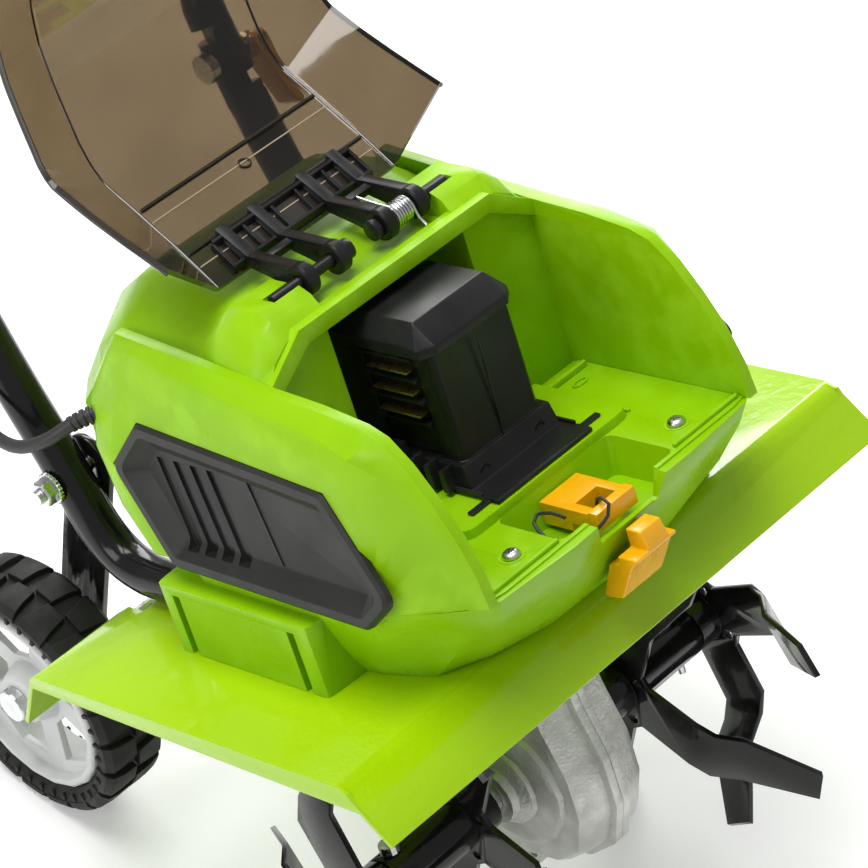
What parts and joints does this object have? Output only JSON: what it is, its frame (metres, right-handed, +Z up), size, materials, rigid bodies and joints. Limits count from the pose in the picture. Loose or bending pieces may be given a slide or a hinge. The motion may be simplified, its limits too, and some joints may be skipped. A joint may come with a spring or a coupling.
{
  "type": "mini cultivator",
  "caption": "Small walk-behind electric tiller with powered bladed tines under a pressed deck, an open battery bay with a hinged clear lid, transport wheels and a folding loop handle.",
  "frame": {"origin": "middle of the bounding box on the floor, with the machine standing on its tine tips and wheels", "axes": "+X to the machine's right seen from behind the handle, +Y rearwards to the operator, +Z up"},
  "size_m": [0.352, 0.8604, 0.9714],
  "materials": {
    "lime_plastic": "glossy moulded",
    "lime_paint": "orange-peel powder coat",
    "black_plastic": "moulded, satin",
    "grey_plastic": "moulded, satin",
    "amber_plastic": "moulded",
    "smoke_clear": "clear smoke-tinted plastic",
    "black_paint": "gloss black",
    "cast_aluminium": "sand cast",
    "zinc_steel": "zinc plated",
    "brass": "rolled",
    "tyre_rubber": "moulded tread",
    "foam_rubber": "foam sleeve",
    "cord_rubber": "cable jacket"
  },
  "bodies": {
    "chassis": {"deck_panel": "lime_paint", "lower_tub": "lime_plastic", "upper_cowl": "lime_plastic", "vent_panel_left": "black_plastic", "vent_panel_right": "black_plastic", "battery_receptacle": "black_plastic", "contact_blade_1": "brass", "contact_blade_2": "brass", "contact_blade_3": "brass", "bay_screw_left": "zinc_steel", "bay_screw_right": "zinc_steel", "hinge_pin_left": "zinc_steel", "hinge_pin_right": "zinc_steel", "torsion_spring": "zinc_steel", "gearbox_half_left": "cast_aluminium", "gearbox_half_right": "cast_aluminium", "gearbox_bolt_1": "zinc_steel", "gearbox_bolt_2": "zinc_steel", "motor_can": "zinc_steel", "bracket_bolt_left": "zinc_steel", "bracket_bolt_right": "zinc_steel", "lower_tube_left": "black_paint", "lower_tube_right": "black_paint", "fold_bolt_left": "zinc_steel", "fold_bolt_right": "zinc_steel", "cable_lower": "cord_rubber"},
    "lid": {"battery_lid": "smoke_clear", "hinge_arm_left": "black_plastic", "hinge_arm_right": "black_plastic"},
    "latch": {"lid_latch": "amber_plastic"},
    "key": {"safety_key": "amber_plastic", "key_tether": "cord_rubber"},
    "tines": {"tine_shaft": "zinc_steel", "worm_wheel": "brass", "inner_tine_left": "black_paint", "outer_tine_left": "black_paint", "tine_pin_left": "zinc_steel", "inner_tine_right": "black_paint", "outer_tine_right": "black_paint", "tine_pin_right": "zinc_steel"},
    "worm": {"worm_shaft": "zinc_steel"},
    "carriage": {"wheel_axle": "zinc_steel", "wheel_bracket_left": "black_paint", "wheel_bracket_right": "black_paint"},
    "wheel_left": {"tyre_left": "tyre_rubber", "wheel_hub_left": "grey_plastic"},
    "wheel_right": {"tyre_right": "tyre_rubber", "wheel_hub_right": "grey_plastic"},
    "handle": {"upper_handle": "black_paint", "grip_left": "foam_rubber", "grip_right": "foam_rubber", "switch_box": "lime_plastic", "cable_upper": "cord_rubber", "cable_clip_1": "black_plastic", "cable_clip_2": "black_plastic"},
    "lock_button": {"lock_button": "amber_plastic"},
    "bail": {"bail_lever": "black_paint"},
    "cam_left": {"cam_lever_left": "amber_plastic"},
    "cam_right": {"cam_lever_right": "amber_plastic"}
  },
  "joints": [
    {"name": "lid_hinge", "type": "hinge", "parent": "chassis", "child": "lid", "pos_m": [0, -0.20372, 0.38233], "axis": [1, 0, 0], "range_deg": [0, 158], "stiffness_Nm_per_rad": 0.12},
    {"name": "latch_pivot", "type": "hinge", "parent": "chassis", "child": "latch", "pos_m": [0, -0.37315, 0.27678], "axis": [1, 0, 0], "range_deg": [0, 10], "stiffness_Nm_per_rad": 0.4, "springref_deg": -5.73},
    {"name": "key_pull", "type": "slide", "parent": "chassis", "child": "key", "axis": [0, 0.372, 0.9282], "range_m": [0, 0.02]},
    {"name": "tine_spin", "type": "hinge", "parent": "chassis", "child": "tines", "pos_m": [0, -0.32201, 0.11138], "axis": [1, 0, 0], "continuous": true},
    {"name": "worm_spin", "type": "hinge", "parent": "chassis", "child": "worm", "pos_m": [0, -0.20343, 0.25939], "axis": [0, 0.372, 0.9282], "continuous": true},
    {"name": "carriage_swing", "type": "hinge", "parent": "chassis", "child": "carriage", "pos_m": [0, -0.09779, 0.22998], "axis": [1, 0, 0], "range_deg": [0, 70]},
    {"name": "wheel_left_spin", "type": "hinge", "parent": "carriage", "child": "wheel_left", "pos_m": [-0.112, -0.07554, 0.071], "axis": [1, 0, 0], "continuous": true},
    {"name": "wheel_right_spin", "type": "hinge", "parent": "carriage", "child": "wheel_right", "pos_m": [0.112, -0.07554, 0.071], "axis": [1, 0, 0], "continuous": true},
    {"name": "handle_fold", "type": "hinge", "parent": "chassis", "child": "handle", "pos_m": [0, -0.01472, 0.33243], "axis": [1, 0, 0], "range_deg": [0, 105], "deforming": ["cable_upper"]},
    {"name": "bail_squeeze", "type": "hinge", "parent": "handle", "child": "bail", "pos_m": [0, 0.38175, 0.90203], "axis": [-1, 0, 0], "range_deg": [0, 10], "stiffness_Nm_per_rad": 0.5, "springref_deg": -11.46},
    {"name": "button_press", "type": "slide", "parent": "handle", "child": "lock_button", "axis": [0, 0.8208, -0.5713], "range_m": [0, 0.004], "stiffness_N_per_m": 400, "springref_m": -0.001},
    {"name": "cam_left_flip", "type": "hinge", "parent": "chassis", "child": "cam_left", "pos_m": [-0.1185, -0.01472, 0.33243], "axis": [0, 0.8208, -0.5713], "range_deg": [0, 90]},
    {"name": "cam_right_flip", "type": "hinge", "parent": "chassis", "child": "cam_right", "pos_m": [0.1185, -0.01472, 0.33243], "axis": [0, -0.8208, 0.5713], "range_deg": [0, 90]}
  ],
  "couplings": [
    {"joint": "worm_spin", "follows": "tine_spin", "ratio": 20}
  ]
}
